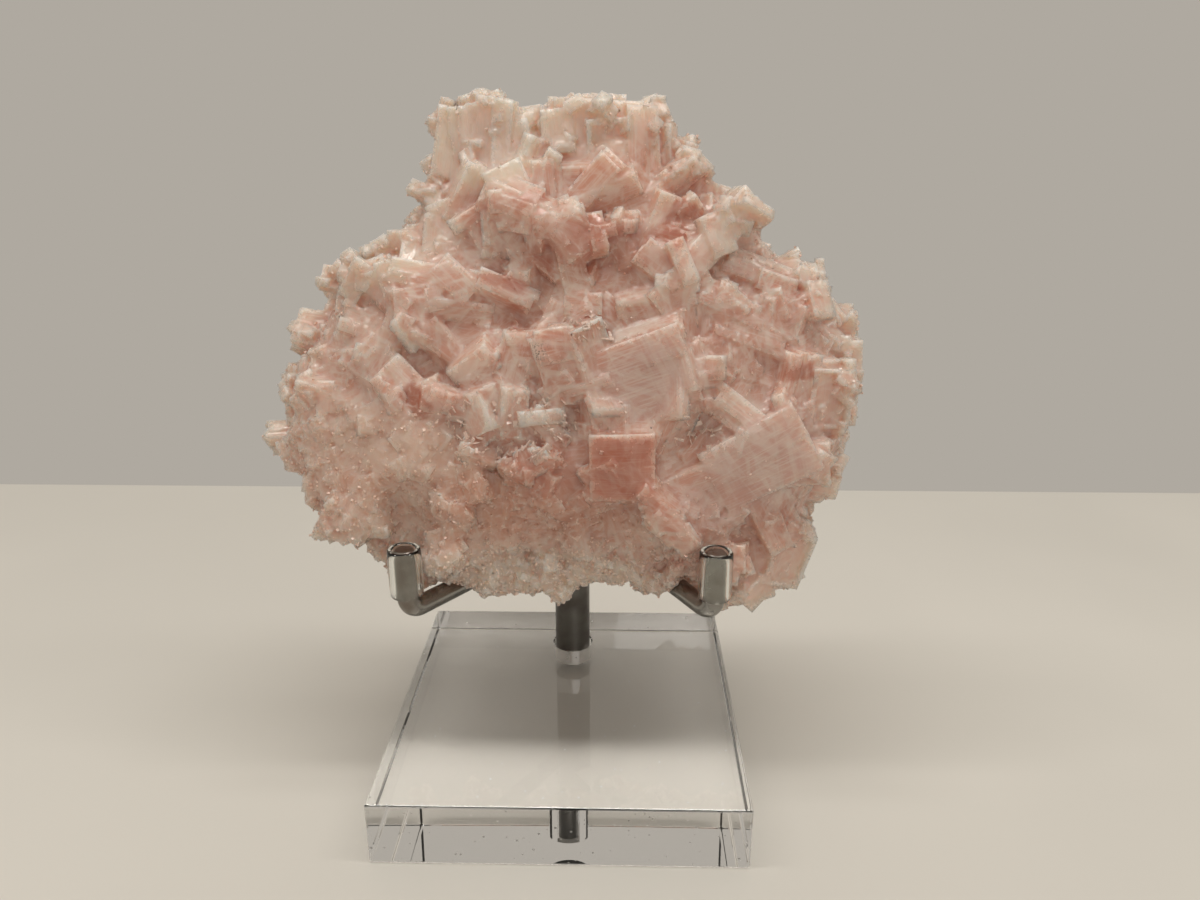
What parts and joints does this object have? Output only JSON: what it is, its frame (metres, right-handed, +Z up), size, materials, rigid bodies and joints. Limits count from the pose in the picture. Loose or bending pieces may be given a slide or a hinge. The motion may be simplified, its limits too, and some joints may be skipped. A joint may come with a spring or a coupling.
{
  "type": "halite crystal cluster",
  "caption": "Flat, rounded cluster of intergrown pink halite crystals, standing upright on a three-arm display stand with a clear square foot.",
  "frame": {"origin": "centre of the foot's underside", "axes": "+Z up, +X to the viewer's right, -Y towards the viewer, so the specimen's front faces -Y"},
  "size_m": [0.1154, 0.07, 0.1345],
  "materials": {
    "halite": "satin",
    "acrylic": "gloss",
    "steel": "gloss",
    "vinyl": "gloss"
  },
  "bodies": {
    "root": {"halite_cluster": "halite", "acrylic_foot": "acrylic", "post": "steel", "left_arm": "steel", "right_arm": "steel", "back_arm": "steel", "left_sleeve": "vinyl", "right_sleeve": "vinyl", "back_sleeve": "vinyl"}
  },
  "joints": []
}
